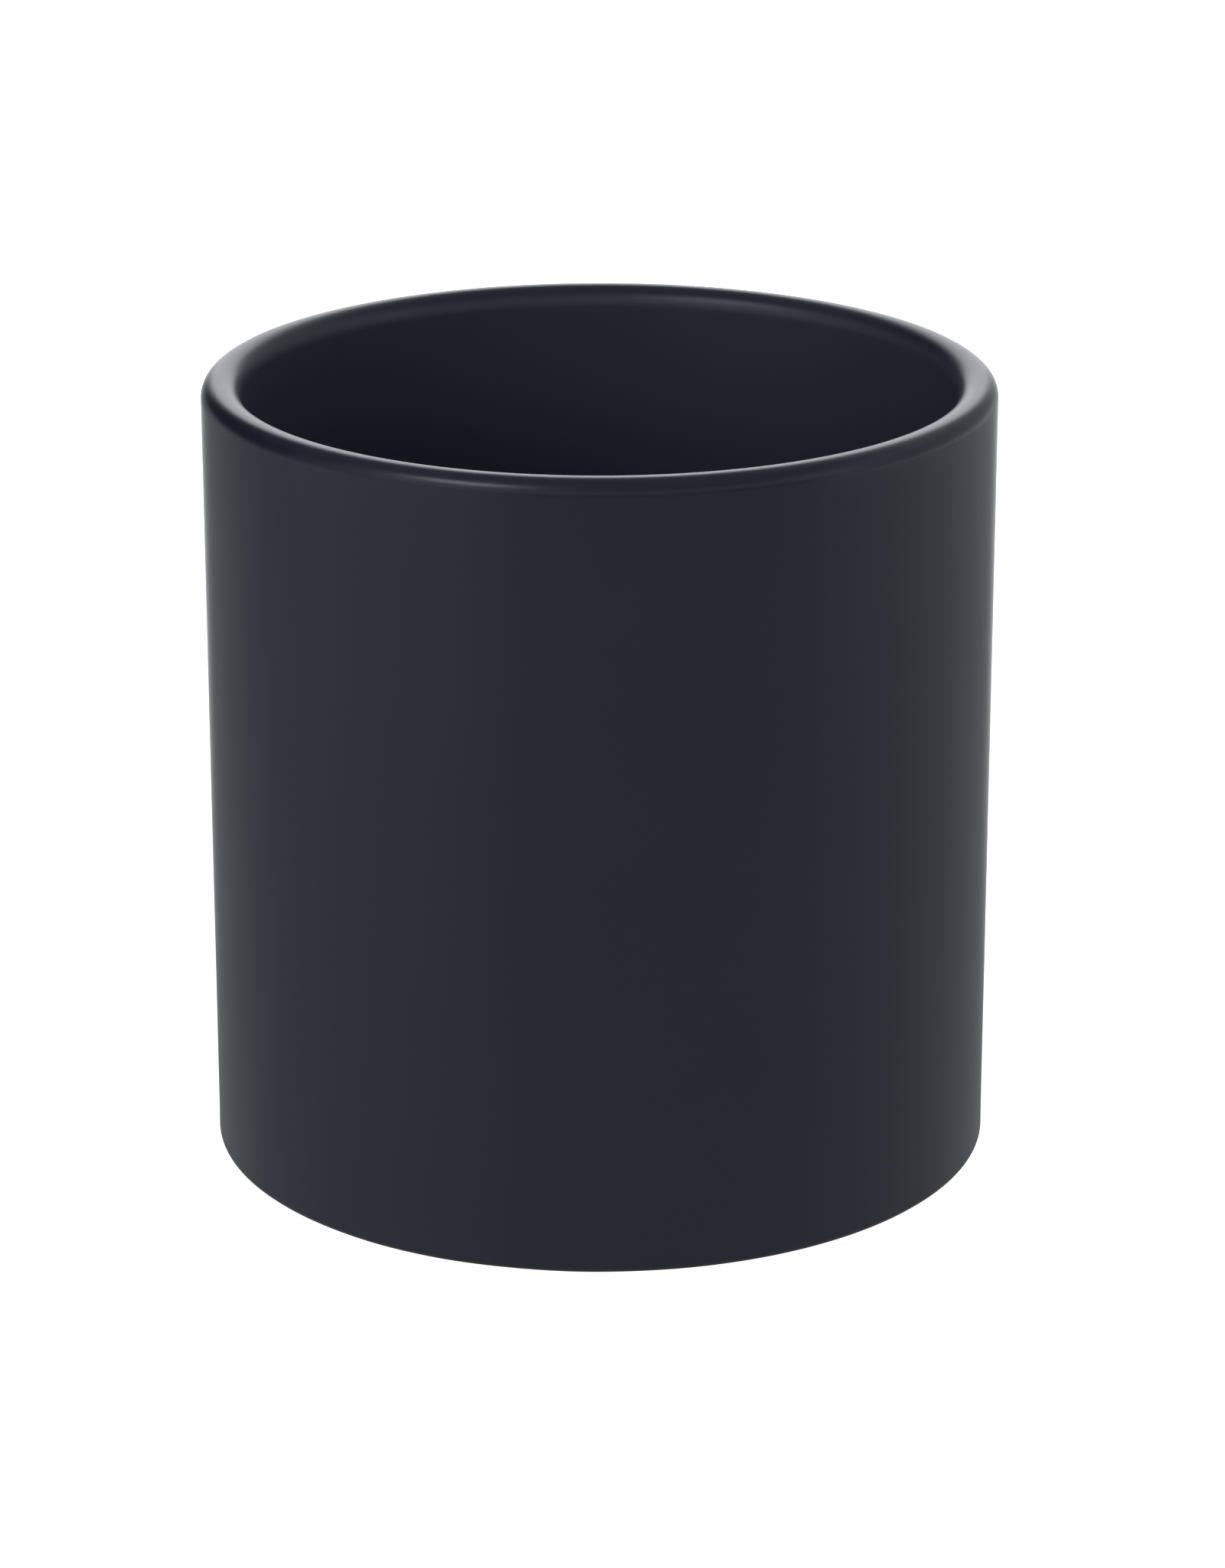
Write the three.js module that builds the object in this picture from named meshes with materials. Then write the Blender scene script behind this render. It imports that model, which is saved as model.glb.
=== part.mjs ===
// Empty candle jar: a straight-sided jar of fired clay under a satin-matt glaze, bare at its foot ring.
//
// The jar is one fired piece with nothing that moves. Its body is clay. Three coats of glaze are fused
// to it: one outside and over the rim, one inside, and one in the hollow under the base.
// Every sub-part is a body of revolution, so each is a closed outline turned about the jar's axis.
//
// Units are millimetres. +Z is up. The origin is the centre of the ring that the jar stands on.

import * as THREE from "three";

// ---- Driving dimensions -------------------------------------------------------------------------

const OUTSIDE_DIAMETER = 80; // over the glaze
const HEIGHT = 80.8; // table to rim, over the glaze
const WALL = 4; // at the rim, both coats of glaze included
const INSIDE_DRAFT = 0.4; // how much smaller the inside radius is above the floor than at the rim
const GLAZE = 0.3; // thickness of each coat
const GLAZE_LIP = 0.6; // a free edge of glaze rises to its full thickness over this length

const RIM_OUTER_RADIUS = 1.7; // over the glaze
const RIM_INNER_RADIUS = 2.1; // over the glaze
const SEAM_BELOW_RIM = 5; // the outside coat runs this far down the inside wall

const CLAY_FLOOR = 4.2; // clay between the hollow under the base and the inside floor
const FLOOR_CORNER_RADIUS = 6; // clay, where the inside wall meets the floor

const HEEL_RADIUS = 0.7; // clay, where the outside wall turns under
const GLAZE_LINE_ANGLE = -42; // degrees round the heel: the clay below this is bare
const FOOT_WIDTH = 3.2; // flat ring that the jar stands on
const FOOT_SLOPE_WIDTH = 0.6; // slope from that ring up into the hollow
const HOLLOW_DEPTH = 1.4; // clay, under the base
const HOLLOW_CORNER_RADIUS = 0.8;
const BARE_MARGIN = 0.5; // bare clay between the base glaze and the hollow's corner

const FACETS = 64; // round the axis

// ---- Sizes that follow --------------------------------------------------------------------------

const outsideRadius = OUTSIDE_DIAMETER / 2 - GLAZE;
const insideRadius = OUTSIDE_DIAMETER / 2 - WALL + GLAZE;
const rimHeight = HEIGHT - GLAZE;
const rimOuterRadius = RIM_OUTER_RADIUS - GLAZE;
const rimInnerRadius = RIM_INNER_RADIUS - GLAZE;
const floorHeight = HOLLOW_DEPTH + CLAY_FLOOR;
const footOuterRadius = outsideRadius - HEEL_RADIUS;
const footInnerRadius = footOuterRadius - FOOT_WIDTH;
const hollowRadius = footInnerRadius - FOOT_SLOPE_WIDTH - HOLLOW_CORNER_RADIUS;

// ---- Outlines -----------------------------------------------------------------------------------
// A point of an outline is a radius and a height. A stretch is a list of samples of the clay's surface,
// each a point with the direction that leads away from the clay there. The stretches run from the
// centre of the underside outwards, up the wall, over the rim and down to the centre of the floor, so
// the clay is always on their left.

const point = (radius, height) => new THREE.Vector2(radius, height);

function line(from, to, steps = 1) {
  const run = to.clone().sub(from).normalize();
  const away = point(run.y, -run.x);
  return Array.from({ length: steps + 1 }, (_, i) => ({ at: from.clone().lerp(to, i / steps), away }));
}

function arc(centre, radius, fromDegrees, toDegrees, steps) {
  const convex = Math.sign(toDegrees - fromDegrees);
  return Array.from({ length: steps + 1 }, (_, i) => {
    const angle = THREE.MathUtils.degToRad(THREE.MathUtils.lerp(fromDegrees, toDegrees, i / steps));
    const spoke = point(Math.cos(angle), Math.sin(angle));
    return { at: centre.clone().addScaledVector(spoke, radius), away: spoke.multiplyScalar(convex) };
  });
}

// Joins stretches end to end, and drops a sample that repeats the one before it.
function joined(...stretches) {
  const samples = stretches.flat();
  return samples.filter((sample, i) => i === 0 || sample.at.distanceTo(samples[i - 1].at) > 1e-4);
}

// The ceiling of the hollow under the base, from the axis to the edge of its glaze.
function hollowCeiling() {
  const edge = point(hollowRadius - BARE_MARGIN, HOLLOW_DEPTH);
  const lip = point(edge.x - GLAZE_LIP, HOLLOW_DEPTH);
  return joined(line(point(0, HOLLOW_DEPTH), lip), line(lip, edge, 3));
}

// Bare clay: the hollow's corner, its slope, the ring that the jar stands on, and the heel's underside.
function foot() {
  const cornerStart = point(hollowRadius, HOLLOW_DEPTH);
  const cornerCentre = point(hollowRadius, HOLLOW_DEPTH - HOLLOW_CORNER_RADIUS);
  const heelCentre = point(footOuterRadius, HEEL_RADIUS);
  return joined(
    line(point(hollowRadius - BARE_MARGIN, HOLLOW_DEPTH), cornerStart),
    arc(cornerCentre, HOLLOW_CORNER_RADIUS, 90, 20, 3),
    line(point(footInnerRadius, 0), point(footOuterRadius, 0)),
    arc(heelCentre, HEEL_RADIUS, -90, GLAZE_LINE_ANGLE, 2),
  );
}

// The inside wall leans in from the end of the rim's inner round to the start of the floor's corner.
const wallTop = point(insideRadius, rimHeight - rimInnerRadius);
const wallFoot = point(insideRadius - INSIDE_DRAFT, floorHeight + FLOOR_CORNER_RADIUS);
const seam = wallTop.clone().lerp(wallFoot, (wallTop.y - (HEIGHT - SEAM_BELOW_RIM)) / (wallTop.y - wallFoot.y));

// The glazed heel, the outside wall, the rim, and the inside wall down to the seam.
function outside() {
  const heelCentre = point(footOuterRadius, HEEL_RADIUS);
  const outerCentre = point(outsideRadius - rimOuterRadius, rimHeight - rimOuterRadius);
  const innerCentre = point(insideRadius + rimInnerRadius, rimHeight - rimInnerRadius);
  return joined(
    arc(heelCentre, HEEL_RADIUS, GLAZE_LINE_ANGLE, 0, 3),
    arc(outerCentre, rimOuterRadius, 0, 90, 5),
    arc(innerCentre, rimInnerRadius, 90, 180, 4),
    line(wallTop, seam),
  );
}

// The inside wall below the seam, the corner, and the floor to the axis.
function inside() {
  const cornerCentre = point(wallFoot.x - FLOOR_CORNER_RADIUS, wallFoot.y);
  return joined(
    line(seam, wallFoot),
    arc(cornerCentre, FLOOR_CORNER_RADIUS, 0, -90, 6),
    line(point(cornerCentre.x, floorHeight), point(0, floorHeight)),
  );
}

// ---- Solids -------------------------------------------------------------------------------------

// The surface of a coat of glaze on a stretch of clay, as points. A free edge rises from the clay in a
// quarter of an ellipse. Any other edge is cut square, where it meets the next coat or the axis.
function skinOver(stretch, { freeStart = false, freeEnd = false } = {}) {
  const travelled = stretch.map(() => 0);
  for (let i = 1; i < stretch.length; i += 1) {
    travelled[i] = travelled[i - 1] + stretch[i].at.distanceTo(stretch[i - 1].at);
  }
  const rise = (fromEdge) => Math.sqrt(1 - (1 - Math.min(fromEdge / GLAZE_LIP, 1)) ** 2);
  return stretch.map(({ at, away }, i) => {
    const start = freeStart ? rise(travelled[i]) : 1;
    const end = freeEnd ? rise(travelled.at(-1) - travelled[i]) : 1;
    return at.clone().addScaledVector(away, GLAZE * Math.min(start, end));
  });
}

const clayOf = (stretch) => stretch.map(({ at }) => at);

function turned(name, points, material) {
  const mesh = new THREE.Mesh(new THREE.LatheGeometry(points, FACETS), material);
  mesh.name = name;
  return mesh;
}

function clayBody(material) {
  return turned("clay_body", clayOf(joined(hollowCeiling(), foot(), outside(), inside())), material);
}

function outsideGlaze(material) {
  const skin = skinOver(outside(), { freeStart: true });
  return turned("outside_glaze", [...skin, ...clayOf(outside()).reverse()], material);
}

function insideGlaze(material) {
  return turned("inside_glaze", [...clayOf(inside()).reverse(), ...skinOver(inside())], material);
}

function baseGlaze(material) {
  const skin = skinOver(hollowCeiling(), { freeEnd: true });
  return turned("base_glaze", [...skin, ...clayOf(hollowCeiling()).reverse()], material);
}

// ---- The jar ------------------------------------------------------------------------------------

const glaze = new THREE.MeshStandardMaterial({ color: 0x24262d, roughness: 0.42, metalness: 0 });
const clay = new THREE.MeshStandardMaterial({ color: 0xcabba4, roughness: 0.9, metalness: 0 });

const jar = new THREE.Group();
jar.rotation.x = Math.PI / 2; // a lathe turns about Y, and the jar stands along Z
jar.add(clayBody(clay), outsideGlaze(glaze), insideGlaze(glaze), baseGlaze(glaze));

export default jar;
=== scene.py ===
# %% [markdown]
# # An empty candle jar
#
# This lesson dresses a plain CAD model of a candle jar. The jar is one piece of fired clay with three
# coats of glaze: one dipped over the outside and the rim, one poured inside, and one in the hollow under
# the base. Only the ring that it stands on is bare.
#
# The CAD model is the frame. It is loaded first, it is never moved, and every size that it can give is
# read from it. Blender's units here are metres, so MM turns a size in millimetres into one.

# %% Load the frame
from math import ceil, cos, pi, radians, sin, sqrt

import bpy
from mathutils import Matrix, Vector


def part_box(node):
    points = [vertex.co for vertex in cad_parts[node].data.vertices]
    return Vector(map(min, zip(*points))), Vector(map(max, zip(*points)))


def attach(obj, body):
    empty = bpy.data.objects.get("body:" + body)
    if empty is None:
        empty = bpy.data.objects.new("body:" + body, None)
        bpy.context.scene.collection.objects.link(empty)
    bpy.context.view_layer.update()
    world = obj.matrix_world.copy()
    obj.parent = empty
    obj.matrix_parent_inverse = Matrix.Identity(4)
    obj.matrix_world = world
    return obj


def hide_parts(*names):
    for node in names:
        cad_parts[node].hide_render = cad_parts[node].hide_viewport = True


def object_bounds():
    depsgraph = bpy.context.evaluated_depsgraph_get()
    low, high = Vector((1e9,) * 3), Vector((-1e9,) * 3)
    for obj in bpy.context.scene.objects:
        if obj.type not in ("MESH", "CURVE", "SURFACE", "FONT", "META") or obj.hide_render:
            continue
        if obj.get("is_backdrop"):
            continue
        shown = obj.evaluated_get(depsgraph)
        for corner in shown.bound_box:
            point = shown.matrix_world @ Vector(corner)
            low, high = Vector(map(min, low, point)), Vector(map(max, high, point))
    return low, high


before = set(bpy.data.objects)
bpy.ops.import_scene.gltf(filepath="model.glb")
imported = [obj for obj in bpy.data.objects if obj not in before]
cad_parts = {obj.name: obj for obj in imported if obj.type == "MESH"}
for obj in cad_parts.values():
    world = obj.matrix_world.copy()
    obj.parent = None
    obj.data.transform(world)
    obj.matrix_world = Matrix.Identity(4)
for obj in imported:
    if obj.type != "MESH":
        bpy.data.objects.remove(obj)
cad_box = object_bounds()

MM = 0.001

for node in sorted(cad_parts):
    low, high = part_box(node)
    print(f"{node}: {low.z / MM:.1f} to {high.z / MM:.1f} mm up, {high.x / MM:.1f} mm in radius")

# %% [markdown]
# ## The camera
#
# A jar is best seen from a little above, so that its mouth shows as an ellipse, and from far enough
# away that its sides stay almost parallel. A long lens gives that. The camera is made first, because
# everything after it is judged through it. It aims a little to one side of the axis and a little below
# half way up, which sets where the jar stands in the picture without any shift of the lens.

# %% The camera
jar_height = cad_box[1].z
outside_radius = cad_box[1].x

LENS = 118.9
CAMERA_DISTANCE = 534.0 * MM
CAMERA_ELEVATION = radians(19.12)
AIM_HEIGHT = 0.46 * jar_height
AIM_SIDE = 1.29 * MM
NEAREST_SEEN = 0.01

aim = Vector((AIM_SIDE, 0, AIM_HEIGHT))
towards_camera = Vector((0, -cos(CAMERA_ELEVATION), sin(CAMERA_ELEVATION)))

camera_data = bpy.data.cameras.new("camera")
camera_data.lens = LENS
camera_data.clip_start = NEAREST_SEEN
camera = bpy.data.objects.new("camera", camera_data)
bpy.context.collection.objects.link(camera)
camera.location = aim + CAMERA_DISTANCE * towards_camera
camera.rotation_euler = (-towards_camera).to_track_quat("-Z", "Y").to_euler()
bpy.context.scene.camera = camera
print(f"The camera is {camera.location.z / MM:.0f} mm up and {-camera.location.y / MM:.0f} mm in front")

# %% [markdown]
# ## Sums in a node tree
#
# Blender's materials, geometry trees and worlds are all node trees. Two small classes make them short to
# write. A Signal is the output of a node, and it can be added, subtracted and multiplied like a number:
# each such step adds one Math node. A Graph adds any node to one tree.
#
# The other way is to set up every node and link by hand, which takes four lines for each sum and hides
# what is being worked out.

# %% A signal that can be used in a sum
class Signal:
    """The output socket of a node, for use in ordinary Python sums."""

    def __init__(self, graph, socket):
        self.graph = graph
        self.socket = socket

    def maths(self, operation, first, second=0.0):
        return self.graph.node("ShaderNodeMath", {"operation": operation}, {0: first, 1: second})

    def __add__(self, other):
        return self.maths("ADD", self, other)

    def __radd__(self, other):
        return self.maths("ADD", other, self)

    def __sub__(self, other):
        return self.maths("SUBTRACT", self, other)

    def __rsub__(self, other):
        return self.maths("SUBTRACT", other, self)

    def __mul__(self, other):
        return self.maths("MULTIPLY", self, other)

    def __rmul__(self, other):
        return self.maths("MULTIPLY", other, self)

    def __truediv__(self, other):
        return self.maths("DIVIDE", self, other)

    def __pow__(self, other):
        return self.maths("POWER", self, other)


# %% A graph that adds nodes
MIX_COLOURS = (6, 7)
MIX_COLOUR_RESULT = 2


class Graph:
    """Adds nodes to one node tree: a material's, a world's or a geometry tree."""

    def __init__(self, tree):
        self.tree = tree

    def node(self, kind, settings=None, inputs=None, output=0):
        """Makes a node, then its settings, then the values or links of its sockets."""
        made = self.tree.nodes.new(kind)
        for name, value in (settings or {}).items():
            setattr(made, name, value)
        for key, value in (inputs or {}).items():
            if isinstance(value, Signal):
                self.tree.links.new(value.socket, made.inputs[key])
            else:
                made.inputs[key].default_value = value
        return Signal(self, made.outputs[output]) if made.outputs else None

    def function(self, operation, value):
        """A Math node with one input, such as a sine."""
        return self.node("ShaderNodeMath", {"operation": operation}, {0: value})

    def parts(self, vector):
        """The X, Y and Z of a vector."""
        return [self.node("ShaderNodeSeparateXYZ", inputs={0: vector}, output=i) for i in range(3)]

    def vector(self, x, y, z=0.0):
        return self.node("ShaderNodeCombineXYZ", inputs={0: x, 1: y, 2: z})

    def above(self, value, low, high):
        """0 below low, 1 above high, and a smooth rise between."""
        settings = {"interpolation_type": "SMOOTHSTEP"}
        inputs = {"Value": value, "From Min": low, "From Max": high}
        return self.node("ShaderNodeMapRange", settings, inputs)

    def blend(self, mask, first, second):
        """The colour first where mask is 0, second where it is 1. A Mix node keeps a set of sockets for
        each type of data, all with the same names, so its colour sockets are found by number."""
        from_socket, to_socket = MIX_COLOURS
        inputs = {0: mask, from_socket: first, to_socket: second}
        return self.node("ShaderNodeMix", {"data_type": "RGBA"}, inputs, MIX_COLOUR_RESULT)


print("A blend of colours joins inputs", *MIX_COLOURS, "and output", MIX_COLOUR_RESULT, "of a Mix node")

# %% [markdown]
# ## The outline of a turned piece
#
# Clay and glaze are both bodies of revolution here, so each needs only its outline: a chain of points,
# each a radius and a height. Lines and arcs are enough. A sample keeps the direction that leads away from
# the clay as well, because a coat of glaze is the clay's own outline moved that way by its thickness.
#
# An arc gets a sample every few degrees. A straight stretch needs few, only enough to follow the slight
# waviness of the clay, and many where a coat's thickness changes.

# %% Lines, arcs and chains
DEGREES_PER_STEP = 5
LONG_STEP = 2.0 * MM
SHORT_STEP = 0.15 * MM


def line(start, end, step=LONG_STEP):
    """Samples of a straight stretch of the clay's surface. The clay is on its left."""
    run = (end - start).normalized()
    away = Vector((run.y, -run.x))
    steps = ceil((end - start).length / step)
    return [(start.lerp(end, i / steps), away) for i in range(steps + 1)]


def arc(centre, radius, from_degrees, to_degrees):
    """Samples of a round stretch. It is convex where the angle grows, and hollow where it falls."""
    samples = []
    steps = ceil(abs(to_degrees - from_degrees) / DEGREES_PER_STEP)
    for i in range(steps + 1):
        angle = radians(from_degrees + (to_degrees - from_degrees) * i / steps)
        spoke = Vector((cos(angle), sin(angle)))
        away = spoke if to_degrees > from_degrees else -spoke
        samples.append((centre + radius * spoke, away))
    return samples


SAME_PLACE = 1e-7


def chain(*stretches):
    """Joins stretches end to end, without the samples that repeat the one before."""
    samples = []
    for sample in (s for stretch in stretches for s in stretch):
        if not samples or (sample[0] - samples[-1][0]).length > SAME_PLACE:
            samples.append(sample)
    return samples


quarter = arc(Vector((0, 0)), 1.0, 0, 90)
print(f"A quarter of a circle has {len(quarter)} samples, {DEGREES_PER_STEP} degrees apart")

# %% [markdown]
# ## The sizes of the jar
#
# The frame gives the large sizes. The rest are the small rounds that a maker would choose: soft rounds
# outside and inside the rim that all but meet on its crest, a crisp heel, and a full round where the
# inside wall meets the floor so that wax comes away cleanly. The lip of a coat is where the glaze was
# wiped away, and the bead is the slight swelling behind that lip.

# %% Sizes
clay_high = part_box("clay_body")[1]
poured_low, poured_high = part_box("inside_glaze")
base_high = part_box("base_glaze")[1]

glaze = jar_height - clay_high.z
clay_radius = clay_high.x
seam_height = poured_high.z
floor_height = poured_low.z
hollow_depth = base_high.z
base_glaze_radius = base_high.x

WALL = 4.0 * MM
INSIDE_DRAFT = 0.4 * MM
RIM_OUTER_RADIUS = 1.7 * MM - glaze
RIM_INNER_RADIUS = 2.1 * MM - glaze
FLOOR_CORNER_RADIUS = 6 * MM
HEEL_RADIUS = 0.7 * MM
GLAZE_LINE_ANGLE = -42
FOOT_WIDTH = 3.2 * MM
FOOT_SLOPE_WIDTH = 0.6 * MM
HOLLOW_CORNER_RADIUS = 0.8 * MM
HOLLOW_CORNER_END = 20
LIP = 0.6 * MM
BEAD_LENGTH = 2.2 * MM

inside_radius = outside_radius - WALL
clay_inside_radius = inside_radius + glaze
foot_outer_radius = clay_radius - HEEL_RADIUS
foot_inner_radius = foot_outer_radius - FOOT_WIDTH
hollow_radius = foot_inner_radius - FOOT_SLOPE_WIDTH - HOLLOW_CORNER_RADIUS

wall_top = Vector((clay_inside_radius, clay_high.z - RIM_INNER_RADIUS))
wall_foot = Vector((clay_inside_radius - INSIDE_DRAFT, floor_height + FLOOR_CORNER_RADIUS))
seam = wall_top.lerp(wall_foot, (wall_top.y - seam_height) / (wall_top.y - wall_foot.y))
print(f"The glaze is {glaze / MM:.2f} mm thick. Its seam is {seam_height / MM:.1f} mm up the inside wall")

# %% [markdown]
# The clay's surface falls into four stretches. They run from the middle of the underside outwards, up the
# wall, over the rim and down to the middle of the floor. Each is a function, because the clay body uses
# all four and each coat of glaze uses one.

# %% The underside
heel_centre = Vector((foot_outer_radius, HEEL_RADIUS))


def hollow_ceiling():
    """Under the base, from the axis to the edge of the base glaze."""
    edge = Vector((base_glaze_radius, hollow_depth))
    bead_start = Vector((base_glaze_radius - BEAD_LENGTH, hollow_depth))
    return chain(line(Vector((0, hollow_depth)), bead_start), line(bead_start, edge, SHORT_STEP))


def bare_foot():
    """The hollow's corner, its slope, the ring that the jar stands on, and the heel's underside."""
    corner_start = Vector((hollow_radius, hollow_depth))
    corner_centre = Vector((hollow_radius, hollow_depth - HOLLOW_CORNER_RADIUS))
    corner = arc(corner_centre, HOLLOW_CORNER_RADIUS, 90, HOLLOW_CORNER_END)
    return chain(
        line(Vector((base_glaze_radius, hollow_depth)), corner_start),
        corner,
        line(corner[-1][0], Vector((foot_inner_radius, 0))),
        line(Vector((foot_inner_radius, 0)), Vector((foot_outer_radius, 0))),
        arc(heel_centre, HEEL_RADIUS, -90, GLAZE_LINE_ANGLE),
    )


print(f"The foot ring is {foot_inner_radius / MM:.1f} to {foot_outer_radius / MM:.1f} mm from the axis")


# %% The outside, the rim and the inside
def outside_and_rim():
    """The glazed heel, the wall, the rim, and the inside wall down to the seam."""
    outer_centre = Vector((clay_radius - RIM_OUTER_RADIUS, clay_high.z - RIM_OUTER_RADIUS))
    inner_centre = Vector((clay_inside_radius + RIM_INNER_RADIUS, clay_high.z - RIM_INNER_RADIUS))
    heel_top = Vector((clay_radius, HEEL_RADIUS))
    bead_end = Vector((clay_radius, HEEL_RADIUS + BEAD_LENGTH))
    return chain(
        arc(heel_centre, HEEL_RADIUS, GLAZE_LINE_ANGLE, 0),
        line(heel_top, bead_end, SHORT_STEP),
        line(bead_end, Vector((clay_radius, outer_centre.y))),
        arc(outer_centre, RIM_OUTER_RADIUS, 0, 90),
        arc(inner_centre, RIM_INNER_RADIUS, 90, 180),
        line(wall_top, seam),
    )


def inside():
    """The inside wall below the seam, the round at the floor, and the floor to the axis."""
    corner_centre = Vector((wall_foot.x - FLOOR_CORNER_RADIUS, wall_foot.y))
    floor_edge = Vector((corner_centre.x, floor_height))
    return chain(
        line(seam, wall_foot),
        arc(corner_centre, FLOOR_CORNER_RADIUS, 0, -90),
        line(floor_edge, Vector((0, floor_height))),
    )


clay_surface = chain(hollow_ceiling(), bare_foot(), outside_and_rim(), inside())
print(f"The clay's outline has {len(clay_surface)} points")

# %% [markdown]
# ## A coat of glaze
#
# Wet glaze is drawn up into a soft rounded lip wherever it was wiped away, and it stands a little proud
# just behind that lip. So a coat's thickness rises from nothing along a quarter of an ellipse, passes its
# full value, and settles. Where one coat meets the next, it is cut square and the two join without a step.
#
# A wiped edge is never a perfect circle. Each point of the outline therefore carries a slide as well: the
# direction along the clay in which the edge may wander, strong at the lip and gone behind the bead.

# %% Coats
def thickness(from_edge, bead):
    """The glaze's thickness at a distance from its free edge. bead is how far it stands proud."""
    rise = sqrt(1 - (1 - min(from_edge / LIP, 1)) ** 2)
    past_lip = min(max((from_edge - LIP) / BEAD_LENGTH, 0), 1)
    return glaze * rise * (1 + bead * (1 - past_lip) ** 2)


def coat(stretch, free_edge=None, bead=0.0):
    """The closed outline of a coat on a stretch, and the slide of each of its points. The outline goes
    along the skin and comes back along the clay. free_edge is "start", "end" or None."""
    travelled = [0.0]
    for (at, _), (before, _) in zip(stretch[1:], stretch):
        travelled.append(travelled[-1] + (at - before).length)
    skin, clay, slides = [], [], []
    for (at, away), along in zip(stretch, travelled):
        from_edge = {"start": along, "end": travelled[-1] - along, None: BEAD_LENGTH + LIP}[free_edge]
        skin.append(at + thickness(from_edge, bead) * away)
        clay.append(at)
        follows = max(1 - from_edge / BEAD_LENGTH, 0)
        slides.append(follows * Vector((-away.y, away.x)))
    points = skin + clay[::-1] + skin[:1]
    return points, slides + slides[::-1] + slides[:1]


print(f"A plain coat is {thickness(BEAD_LENGTH + LIP, 0) / MM:.2f} mm thick past its lip")

# %% [markdown]
# ## Turning the outline
#
# A lathe repeats one outline round an axis. Geometry Nodes can do just that: a flat grid gets one column of
# points for each step round the axis and one row for each point of the outline, and every grid point is
# moved to its place. A Spin modifier would do it too, but the tree can also add what fired clay has: the
# wall strays inwards by a few hundredths of a millimetre, and a wiped edge of glaze wanders. Noise sampled
# in space gives both, and the pieces stay matched because they all read the same noise. The straying is
# inwards only, so that the jar keeps its size.

# %% The turning tree's inputs
TREE_INPUTS = {
    "Outline": "NodeSocketGeometry",
    "Steps round": "NodeSocketInt",
    "Stray": "NodeSocketFloat",
    "Stray length": "NodeSocketFloat",
    "Edge wander": "NodeSocketFloat",
    "Seed": "NodeSocketFloat",
    "Material": "NodeSocketMaterial",
}

turning_tree = bpy.data.node_groups.new("turn_outline", "GeometryNodeTree")
for name, kind in TREE_INPUTS.items():
    turning_tree.interface.new_socket(name, in_out="INPUT", socket_type=kind)
turning_tree.interface.new_socket("Turned", in_out="OUTPUT", socket_type="NodeSocketGeometry")
print("The turning tree takes:", ", ".join(TREE_INPUTS))

# %% [markdown]
# Inside the tree, the grid's own X says how far round a point is and its Y says which point of the outline
# it copies. The last column lands on the first, and a row on the axis lands on one spot, so merging points
# by distance closes the seam and the poles. An edge that this leaves along the axis has no face beside it
# and is deleted.

# %% What the turning tree reads
EDGE_WAVES = 3.0
STRAY_SEED_STEP = 7


def tree_noise(graph, spot, seed):
    """Noise from 0 to 1 with blotches about 1 across."""
    settings = {"noise_dimensions": "4D"}
    return graph.node("ShaderNodeTexNoise", settings, {"Vector": spot, "W": seed, "Scale": 1.0})


def row_of(graph, outline, row, value):
    """What the outline has at a row, as its X, Y and Z."""
    settings = {"data_type": "FLOAT_VECTOR"}
    inputs = {"Geometry": outline, "Value": value, "Index": row}
    return graph.parts(graph.node("GeometryNodeSampleIndex", settings, inputs))


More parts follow.
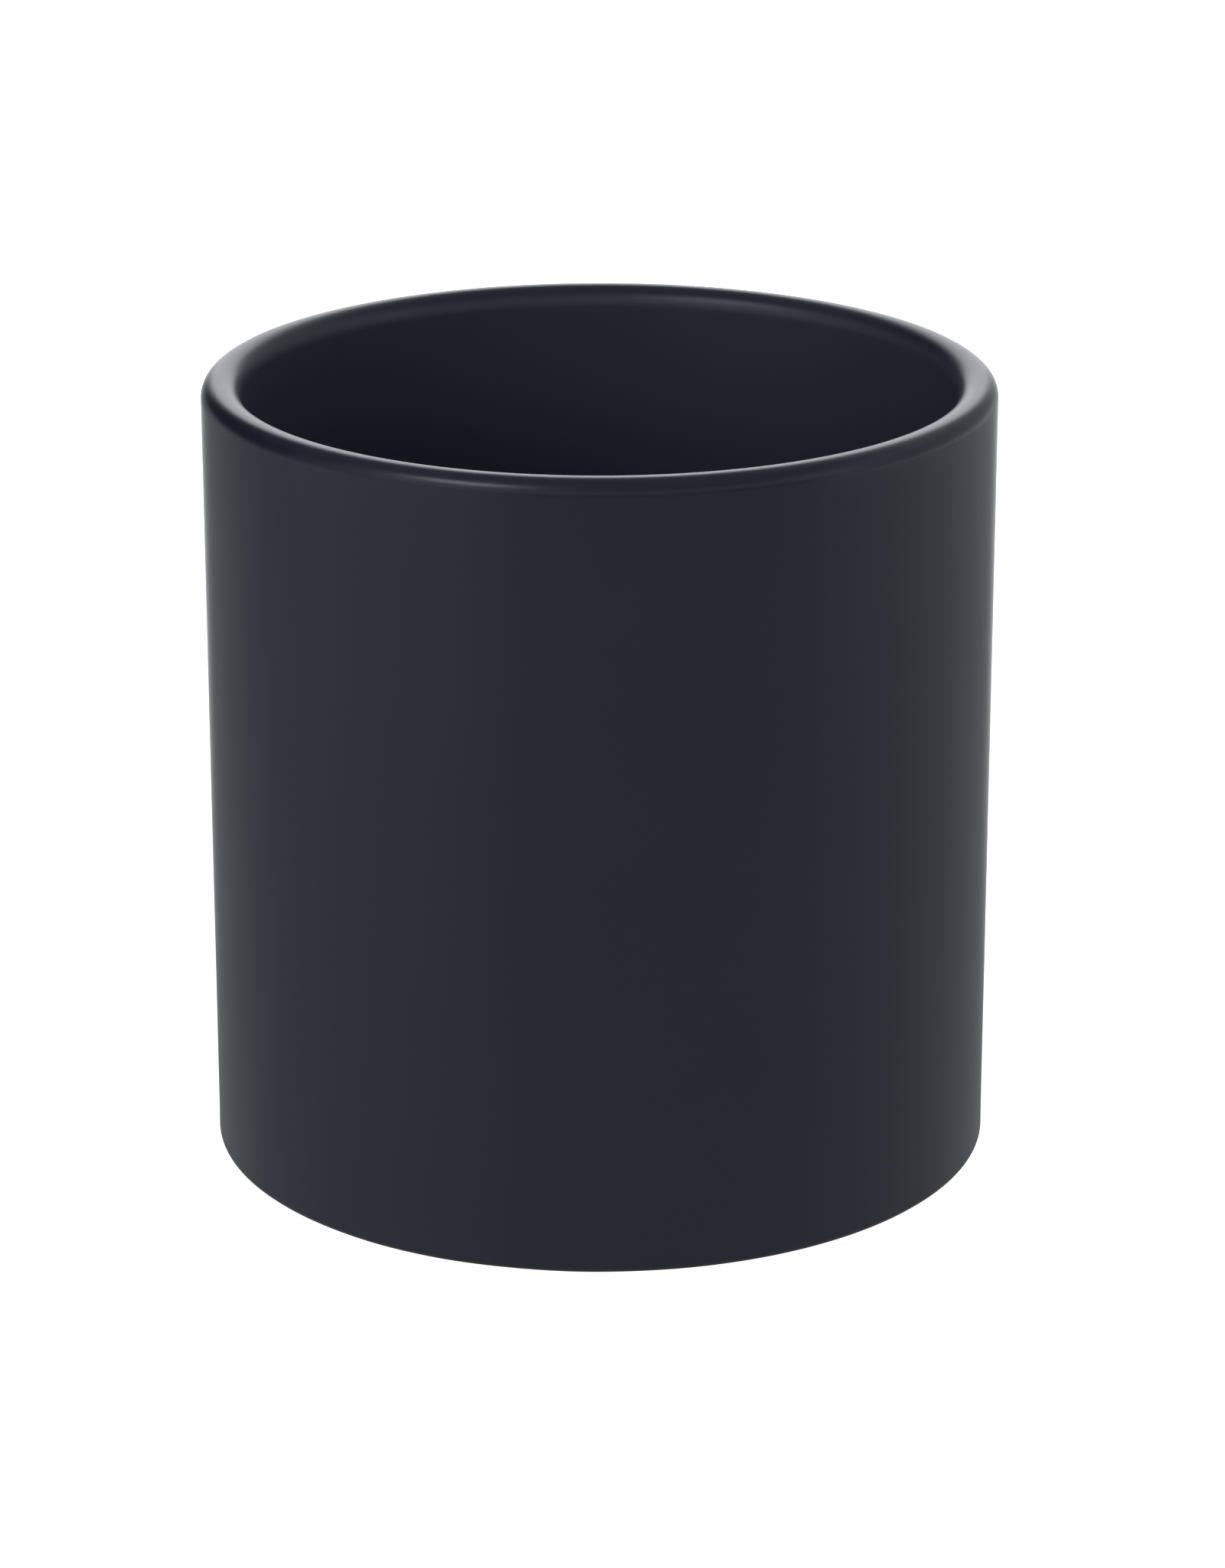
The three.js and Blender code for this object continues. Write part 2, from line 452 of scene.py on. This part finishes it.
# %% Fill in the turning tree
def fill_turning_tree(tree):
    """Adds the nodes that turn an outline about Z, let it stray, close it and paint it."""
    graph = Graph(tree)
    given = tree.nodes.new("NodeGroupInput").outputs
    signals = [Signal(graph, socket) for socket in given[:len(TREE_INPUTS)]]
    outline, steps, stray, stray_length, wander, seed, material = signals

    rows = graph.node("GeometryNodeAttributeDomainSize", {"component": "MESH"}, {"Geometry": outline})
    grid_sizes = {"Size X": 1.0, "Size Y": 1.0, "Vertices X": steps + 1, "Vertices Y": rows}
    grid = graph.node("GeometryNodeMeshGrid", inputs=grid_sizes)
    place = graph.node("GeometryNodeInputPosition")
    grid_x, grid_y, _ = graph.parts(place)
    turn = (grid_x + 0.5) * (2 * pi)
    row = graph.function("ROUND", (grid_y + 0.5) * (rows - 1))
    cosine = graph.function("COSINE", turn)
    sine = graph.function("SINE", turn)

    slide = graph.node("GeometryNodeInputNamedAttribute", {"data_type": "FLOAT_VECTOR"}, {"Name": "slide"})
    at_x, _, at_z = row_of(graph, outline, row, place)
    slide_x, _, slide_z = row_of(graph, outline, row, slide)
    edge_noise = tree_noise(graph, graph.vector(cosine * EDGE_WAVES, sine * EDGE_WAVES), seed)
    drift = (edge_noise - 0.5) * 2 * wander
    radius = at_x + slide_x * drift
    height = at_z + slide_z * drift

    spot = [part / stray_length for part in (radius * cosine, radius * sine, height)]
    inwards = tree_noise(graph, graph.vector(*spot), seed + STRAY_SEED_STEP) * stray
    true_radius = radius * (1 - inwards / outside_radius)
    true_height = height * (1 - inwards / jar_height)
    there = graph.vector(true_radius * cosine, true_radius * sine, true_height)

    moved = graph.node("GeometryNodeSetPosition", inputs={"Geometry": grid, "Position": there})
    closed = graph.node("GeometryNodeMergeByDistance", inputs={"Geometry": moved, "Distance": SAME_PLACE})
    faces_beside = graph.node("GeometryNodeInputMeshEdgeNeighbors")
    is_equal = {"data_type": "INT", "operation": "EQUAL"}
    bare = graph.node("FunctionNodeCompare", is_equal, {"A": faces_beside, "B": 0})
    clean_up = {"domain": "EDGE", "mode": "EDGE_FACE"}
    cleaned = graph.node("GeometryNodeDeleteGeometry", clean_up, {"Geometry": closed, "Selection": bare})
    real = graph.node("GeometryNodeRealizeInstances", inputs={"Geometry": cleaned})
    painted = graph.node("GeometryNodeSetMaterial", inputs={"Geometry": real, "Material": material})
    out = tree.nodes.new("NodeGroupOutput")
    tree.links.new(painted.socket, out.inputs["Turned"])


fill_turning_tree(turning_tree)
print("The turning tree has", len(turning_tree.nodes), "nodes")

# %% [markdown]
# ## From an outline to a piece
#
# Each piece starts as the bare outline, an edge for each pair of neighbouring points. The tree turns it,
# the result becomes a plain mesh, and the outline is thrown away. Smooth shading hides the steps, and
# sharp edges, such as the square cut of a coat, stay sharp.

# %% Turn an outline
STEPS_ROUND = 256
STRAY = 0.05 * MM
STRAY_LENGTH = 30 * MM
SEED = 3.0
SHARP_FROM = radians(35)


def outline_object(name, points, slides):
    """An object that is only the outline, in the plane of X and Z."""
    mesh = bpy.data.meshes.new(name)
    edges = [(i, i + 1) for i in range(len(points) - 1)]
    mesh.from_pydata([(p.x, 0, p.y) for p in points], edges, [])
    slide = mesh.attributes.new("slide", "FLOAT_VECTOR", "POINT")
    for item, value in zip(slide.data, slides):
        item.vector = (value.x, 0, value.y)
    made = bpy.data.objects.new(name, mesh)
    bpy.context.collection.objects.link(made)
    return made


def turned_mesh(outline, material, wander):
    """What the tree makes of the outline, as a plain mesh."""
    modifier = outline.modifiers.new("turn", "NODES")
    modifier.node_group = turning_tree
    values = {
        "Steps round": STEPS_ROUND,
        "Stray": STRAY,
        "Stray length": STRAY_LENGTH,
        "Edge wander": wander,
        "Seed": SEED,
        "Material": material,
    }
    for item in turning_tree.interface.items_tree:
        if item.in_out == "INPUT" and item.name in values:
            modifier[item.identifier] = values[item.name]
    evaluated = outline.evaluated_get(bpy.context.evaluated_depsgraph_get())
    mesh = bpy.data.meshes.new_from_object(evaluated)
    mesh.materials.clear()
    mesh.materials.append(material)
    mesh.shade_smooth()
    mesh.set_sharp_from_angle(angle=SHARP_FROM)
    return mesh


print(f"Each piece has {STEPS_ROUND} steps round, and its clay strays by {STRAY / MM:.2f} mm at most")


def turned_piece(name, node, points, slides, material, wander=0.0):
    """Makes a finished piece that stands for one CAD node."""
    outline = outline_object(name + "_outline", points, slides)
    mesh = turned_mesh(outline, material, wander)
    bpy.data.objects.remove(outline)
    mesh.name = name
    piece = bpy.data.objects.new(name, mesh)
    bpy.context.collection.objects.link(piece)
    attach(piece, "root")
    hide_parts(node)
    print(f"{name}: {len(mesh.vertices)} points and {len(mesh.polygons)} faces")


# %% [markdown]
# ## What every material here shares
#
# A pattern reads the piece's own coordinates, turned into millimetres, so each size below is the real one.
# Because all the pieces stand in one frame, a pattern also runs on unbroken from one coat to the next.

# %% Start and finish a material
def new_material(name):
    """A material with an empty tree, its graph, and the piece's own coordinates in millimetres."""
    material = bpy.data.materials.new(name)
    material.use_nodes = True
    material.node_tree.nodes.clear()
    graph = Graph(material.node_tree)
    own = graph.node("ShaderNodeTexCoord", output="Object")
    scale = (1 / MM, 1 / MM, 1 / MM)
    spot = graph.node("ShaderNodeMapping", inputs={"Vector": own, "Scale": scale})
    return material, graph, spot


def blotches(graph, spot, size, detail=2.0):
    """Noise from 0 to 1 whose blotches are about size millimetres across."""
    return graph.node("ShaderNodeTexNoise", inputs={"Vector": spot, "Scale": 1 / size, "Detail": detail})


def height_and_radius(graph, spot):
    """How far up the jar and how far from its axis, in millimetres."""
    x, y, z = graph.parts(spot)
    return z, (x * x + y * y) ** 0.5


def finish_material(graph, colour, roughness, relief, depth):
    """Joins colour, roughness and relief to a Principled shader. depth is the relief's height in metres."""
    bump = graph.node("ShaderNodeBump", inputs={"Height": relief, "Distance": depth})
    inputs = {"Base Color": colour, "Roughness": roughness, "Normal": bump}
    shader = graph.node("ShaderNodeBsdfPrincipled", inputs=inputs)
    graph.node("ShaderNodeOutputMaterial", inputs={"Surface": shader})
    print(f"The material has {len(graph.tree.nodes)} nodes")


# %% [markdown]
# ## Fired clay
#
# The bare clay shows only at the foot. It is a warm off-white body: fine grain, small iron specks that
# bled out in the firing, and faint rings where the foot was sponged and then rubbed flat on a disc. Close
# to the glaze it keeps a grey haze of what was wiped off.
#
# The rings are noise that is read by radius alone, so that each is the same all the way round, and a
# little of the slow clouding is added to the radius so that they aren't drawn with a compass.

# %% The clay's colours and sizes
CLAY_LIGHT = (0.66, 0.56, 0.43, 1)
CLAY_DARK = (0.50, 0.40, 0.29, 1)
CLAY_IRON = (0.13, 0.07, 0.04, 1)
CLAY_HAZE = (0.15, 0.14, 0.135, 1)
CLAY_ROUGHNESS = 0.82
CLAY_RELIEF = 0.03 * MM

CLAY_CLOUD_SIZE = 4.0
CLAY_GRAIN_SIZE = 0.22
GRAIN_DETAIL = 3.0
GRAIN_ROUGHENS = 0.14
RINGS_PER_MM = 3.2
RING_WAVER = 1.5
RING_STRENGTH = 0.4
SPECKS_PER_MM = 0.75
SPECK_EDGE = (0.06, 0.16)
SPECK_DEPTH = 0.3
HAZE_SIZE = 1.5
HAZE_STRENGTH = 0.9
HAZE_REACH = (1.1, 0.5)
print(f"An iron speck is up to {2 * SPECK_EDGE[1] / SPECKS_PER_MM:.1f} mm across")


# %% The clay's material
def clay_material():
    """Clay with clouds, grain, rings, iron specks and a haze of glaze."""
    material, graph, spot = new_material("bare_clay")
    _, radius = height_and_radius(graph, spot)
    cloud = blotches(graph, spot, CLAY_CLOUD_SIZE)
    grain = blotches(graph, spot, CLAY_GRAIN_SIZE, GRAIN_DETAIL)
    rings = blotches(graph, graph.vector(radius * RINGS_PER_MM, cloud * RING_WAVER), 1.0)
    specks = graph.node("ShaderNodeTexVoronoi", inputs={"Vector": spot, "Scale": SPECKS_PER_MM})
    iron = 1 - graph.above(specks, *SPECK_EDGE)
    near_glaze = graph.above(radius, *(clay_radius / MM - reach for reach in HAZE_REACH))
    haze = near_glaze * blotches(graph, spot, HAZE_SIZE) * HAZE_STRENGTH
    darker = cloud * (1 - RING_STRENGTH) + rings * RING_STRENGTH
    colour = graph.blend(darker, CLAY_LIGHT, CLAY_DARK)
    colour = graph.blend(iron, colour, CLAY_IRON)
    colour = graph.blend(haze, colour, CLAY_HAZE)
    relief = (grain + rings) * 0.5 - iron * SPECK_DEPTH
    finish_material(graph, colour, CLAY_ROUGHNESS + grain * GRAIN_ROUGHENS, relief, CLAY_RELIEF)
    return material


bare_clay = clay_material()

# %% The clay body
clay_points = [at for at, _ in clay_surface]
no_slide = [Vector((0, 0))] * len(clay_points)
turned_piece("fired_clay", "clay_body", clay_points, no_slide, bare_clay)

# %% [markdown]
# ## Satin-matt glaze
#
# The glaze is nearly black with a cool cast. A satin-matt glaze is full of crystals too small to see, which
# spread its shine, so its highlights are broad and soft. Look closer and it is not even: it lies in slow
# clouds of slightly different depth, it has the faint dimples of an eggshell, and it thins at a wiped edge,
# where it breaks to a warmer brown. Black has little colour of its own, so most of this is in the shine and
# in the relief.
#
# Inside the jar the glaze is painted lighter: a painted-light copy of the glaze that stands in for the
# light falling in through the mouth, lightest near the rim and darker deeper down. It is also less shiny.
# The change comes at the foot of the rim's inner round, and it is read from the radius alone, so that it
# crosses the seam between the two coats without a mark. The coat under the base lies within that radius
# too, so it takes the same painted light and roughness.

# %% The glaze's colours and sizes
GLAZE_DEEP = (0.0180, 0.0215, 0.0400, 1)
GLAZE_PALE = (0.0215, 0.0255, 0.0450, 1)
# Painted light: the two inside colours are lighter copies of the glaze, the second one for near the mouth.
GLAZE_INSIDE_PAINTED_LIGHT = (0.0345, 0.0375, 0.0600, 1)
GLAZE_PAINTED_MOUTH_LIGHT = (0.0540, 0.0570, 0.0870, 1)
GLAZE_BREAK = (0.0500, 0.0360, 0.0300, 1)
GLAZE_CRYSTAL = (0.0400, 0.0430, 0.0520, 1)
GLAZE_ROUGHNESS = 0.27
GLAZE_RELIEF = 0.004 * MM

CLOUD_SIZE = 16.0
CLOUD_DETAIL = 4.0
CLOUD_ROUGHENS = 0.06
DIMPLE_SIZE = 1.1
DIMPLE_SHARE = 0.7
CRYSTAL_SIZE = 0.28
CRYSTAL_EDGE = (0.62, 0.78)
CRYSTAL_STRENGTH = 0.25
CRYSTAL_ROUGHENS = 0.04
INSIDE_CHANGE_WIDTH = 0.8
THIN_ROUGHENS = 0.18
PAINTED_MOUTH_LIGHT_HEIGHTS = (50, 80)
BREAK_REACH = (0.2, 0.9)
BREAK_STRENGTH = 0.2
print(f"The glaze's roughness starts at {GLAZE_ROUGHNESS}, and is {THIN_ROUGHENS} more inside")


# %% The glaze's material
def glaze_material(name, edge_distance=None):
    """edge_distance gives how far a spot is from the coat's wiped edge, if it has one."""
    material, graph, spot = new_material(name)
    height, radius = height_and_radius(graph, spot)
    cloud = blotches(graph, spot, CLOUD_SIZE, CLOUD_DETAIL)
    dimples = blotches(graph, spot, DIMPLE_SIZE)
    crystals = blotches(graph, spot, CRYSTAL_SIZE)
    within = 1 - graph.above(radius, inside_radius / MM, inside_radius / MM + INSIDE_CHANGE_WIDTH)

    colour = graph.blend(cloud, GLAZE_DEEP, GLAZE_PALE)
    # Painted light: inside, the glaze is lighter, and lightest near the mouth, where more light falls in.
    painted_inside_light = graph.blend(graph.above(height, *PAINTED_MOUTH_LIGHT_HEIGHTS), GLAZE_INSIDE_PAINTED_LIGHT, GLAZE_PAINTED_MOUTH_LIGHT)
    colour = graph.blend(within, colour, painted_inside_light)
    colour = graph.blend(graph.above(crystals, *CRYSTAL_EDGE) * CRYSTAL_STRENGTH, colour, GLAZE_CRYSTAL)
    if edge_distance:
        thin = 1 - graph.above(edge_distance(height, radius), *BREAK_REACH)
        colour = graph.blend(thin * (BREAK_STRENGTH + cloud), colour, GLAZE_BREAK)

    satin = GLAZE_ROUGHNESS + cloud * CLOUD_ROUGHENS + crystals * CRYSTAL_ROUGHENS
    roughness = satin + within * THIN_ROUGHENS
    relief = dimples * DIMPLE_SHARE + crystals * (1 - DIMPLE_SHARE)
    finish_material(graph, colour, roughness, relief, GLAZE_RELIEF)
    return material


# %% [markdown]
# The dipped coat has one wiped edge, round the heel. The poured coat meets the dipped one and has none.
# The coat under the base was brushed on, so its edge wanders the most and its bead is the thickest.

# %% The dipped coat
DIPPED_BEAD = 0.06
DIPPED_WANDER = 0.12 * MM


def above_foot(height, radius):
    """The dipped coat ends at the foot, so its edge is as far away as a spot is high."""
    return height


outside_glaze = glaze_material("outside_glaze", above_foot)
dipped_outline = coat(outside_and_rim(), "start", DIPPED_BEAD)
turned_piece("dipped_coat", "outside_glaze", *dipped_outline, outside_glaze, DIPPED_WANDER)

# %% The poured coat
inside_glaze = glaze_material("inside_glaze")
turned_piece("poured_coat", "inside_glaze", *coat(inside()), inside_glaze)

# %% The coat under the base
BRUSHED_BEAD = 0.3
BRUSHED_WANDER = 0.3 * MM


def within_edge(height, radius):
    """The coat under the base ends all round, at its own radius."""
    return base_glaze_radius / MM - radius


base_glaze = glaze_material("base_glaze", within_edge)
under_outline = coat(hollow_ceiling(), "end", BRUSHED_BEAD)
turned_piece("under_coat", "base_glaze", *under_outline, base_glaze, BRUSHED_WANDER)

# %% [markdown]
# ## The table
#
# The jar stands on a white table that runs out of sight, like the paper under a shop's pictures. A dark
# glossy jar on a bright table would mirror it all over its wall, and turn grey. In a studio, black cards
# laid just out of view stop that. Here the table is simply hidden from every ray but the camera's: it
# is seen, but it isn't mirrored, lights nothing and takes no shadow. It glows a little above white, so that
# it meets the white room without a line.

# %% The table
TABLE_RADIUS = 3.0
TABLE_SIDES = 96
TABLE_WHITE = (0.86, 0.86, 0.86, 1)
TABLE_ROUGHNESS = 0.9
TABLE_GLOW = 1.2


def table_material():
    """Plain white that glows a little."""
    material = bpy.data.materials.new("table_white")
    material.use_nodes = True
    material.node_tree.nodes.clear()
    graph = Graph(material.node_tree)
    inputs = {
        "Base Color": TABLE_WHITE,
        "Roughness": TABLE_ROUGHNESS,
        "Emission Color": TABLE_WHITE,
        "Emission Strength": TABLE_GLOW,
    }
    shader = graph.node("ShaderNodeBsdfPrincipled", inputs=inputs)
    graph.node("ShaderNodeOutputMaterial", inputs={"Surface": shader})
    return material


table_mesh = bpy.data.meshes.new("table")
around = [2 * pi * i / TABLE_SIDES for i in range(TABLE_SIDES)]
table_edge = [(TABLE_RADIUS * cos(a), TABLE_RADIUS * sin(a), 0) for a in around]
table_mesh.from_pydata(table_edge, [], [list(range(TABLE_SIDES))])
table_mesh.materials.append(table_material())
table = bpy.data.objects.new("table", table_mesh)
table.visible_glossy = False
table.visible_diffuse = False
table.visible_shadow = False
bpy.context.collection.objects.link(table)
table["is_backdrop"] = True
print(f"The table is {2 * TABLE_RADIUS:.0f} m across")

# %% [markdown]
# ## The studio
#
# A dark glossy thing shows the room more than itself, so the room is the lighting. All of it is drawn in
# the world, as brightness by direction: how high above the horizon, and how far round from straight behind
# the jar, turning to the left. Each soft panel has smooth edges, which is what makes its mirror image on
# the glaze soft. Area lamps would do as well, but the world costs nothing to sample and keeps the panels'
# sizes as plain angles.
#
# - The backdrop stands behind the jar. The rim mirrors it as the bright line along its front.
# - A small box hangs high at the front left. It makes the soft patch on the left of the rim.
# - A wide dim panel stands on each side, and brings each edge of the wall out of the dark.
# - A wide dim band runs round behind the camera. It is what the front of the wall mirrors.
# - The floor and the roof are dimmer still, so that the wall stays nearly black.

# %% Directions in the room
world = bpy.data.worlds.new("studio")
world.use_nodes = True
world.node_tree.nodes.clear()
room = Graph(world.node_tree)

direction = room.node("ShaderNodeTexCoord", output="Generated")
east, north, up = room.parts(direction)
elevation = room.function("ARCSINE", up)
level = (east * east + north * north) ** 0.5


def turned_from(degrees):
    """How far round a direction is from one that many degrees left of straight behind the jar."""
    across = (north * cos(radians(degrees)) - east * sin(radians(degrees))) / level
    return room.function("ARCCOSINE", across)


print(f"A direction's height takes {len(world.node_tree.nodes)} nodes")


# %% A panel of light
PANEL_EDGE = 6


def panel(degrees_round, half_width, low, high, brightness):
    """A soft-edged panel. Its place and size are in degrees."""
    beside = turned_from(degrees_round)
    edge = PANEL_EDGE / 2
    across = 1 - room.above(beside, radians(half_width - PANEL_EDGE), radians(half_width + PANEL_EDGE))
    over = room.above(elevation, radians(low - edge), radians(low + edge))
    under = 1 - room.above(elevation, radians(high - edge), radians(high + edge))
    print(f"A panel of {2 * half_width} by {high - low} degrees hangs {degrees_round} degrees round")
    return across * over * under * brightness


# %% Hang the panels
backdrop = panel(degrees_round=0, half_width=16, low=-20, high=32, brightness=2.05)
high_box = panel(degrees_round=132, half_width=13, low=40, high=52, brightness=7.6)
left_panel = panel(degrees_round=116, half_width=33, low=-17, high=36, brightness=0.29)
band_behind_camera = panel(degrees_round=186, half_width=75, low=9, high=33, brightness=0.48)
right_panel = panel(degrees_round=296, half_width=49, low=-13, high=46, brightness=0.375)

# %% Light the floor and the roof
FLOOR_LIGHT = 0.34
ROOF_LIGHT = 0.22
HORIZON_BLUR = radians(4)
ROOF_STARTS = radians(20)
ROOF_FULL = radians(60)

below_horizon = 1 - room.above(elevation, -HORIZON_BLUR, HORIZON_BLUR)
overhead = room.above(elevation, ROOF_STARTS, ROOF_FULL)
dim_room = below_horizon * FLOOR_LIGHT + overhead * ROOF_LIGHT
light = dim_room + backdrop + high_box + left_panel + band_behind_camera + right_panel
print(f"The roof is {ROOF_LIGHT / FLOOR_LIGHT:.1f} times as bright as the floor")

# %% [markdown]
# The camera itself sees none of that: where it looks past the jar, the room is plain white. The Light Path
# node tells a camera's ray from a mirrored one.

# %% The white room
STUDIO_TINT = (0.975, 1.0, 1.05, 1)
ROOM_WHITE = (1, 1, 1, 1)

lit = room.node("ShaderNodeBackground", inputs={"Color": STUDIO_TINT, "Strength": light})
white = room.node("ShaderNodeBackground", inputs={"Color": ROOM_WHITE, "Strength": 1.0})
camera_ray = room.node("ShaderNodeLightPath", output="Is Camera Ray")
seen = room.node("ShaderNodeMixShader", inputs={0: camera_ray, 1: lit, 2: white})
room.node("ShaderNodeOutputWorld", inputs={"Surface": seen})
bpy.context.scene.world = world
bpy.context.scene.view_settings.view_transform = "Standard"
print("The room has", len(world.node_tree.nodes), "nodes")

# %% [markdown]
# ## The size
#
# The dressed jar has to fill the same box as the CAD model. Both boxes are printed, in millimetres.

# %% Print the sizes and finish
visual_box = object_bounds()
boxes = {"cad": [list(corner) for corner in cad_box], "visual": [list(corner) for corner in visual_box]}
for name, (low, high) in boxes.items():
    print(name, [round((b - a) / MM, 2) for a, b in zip(low, high)], "mm")
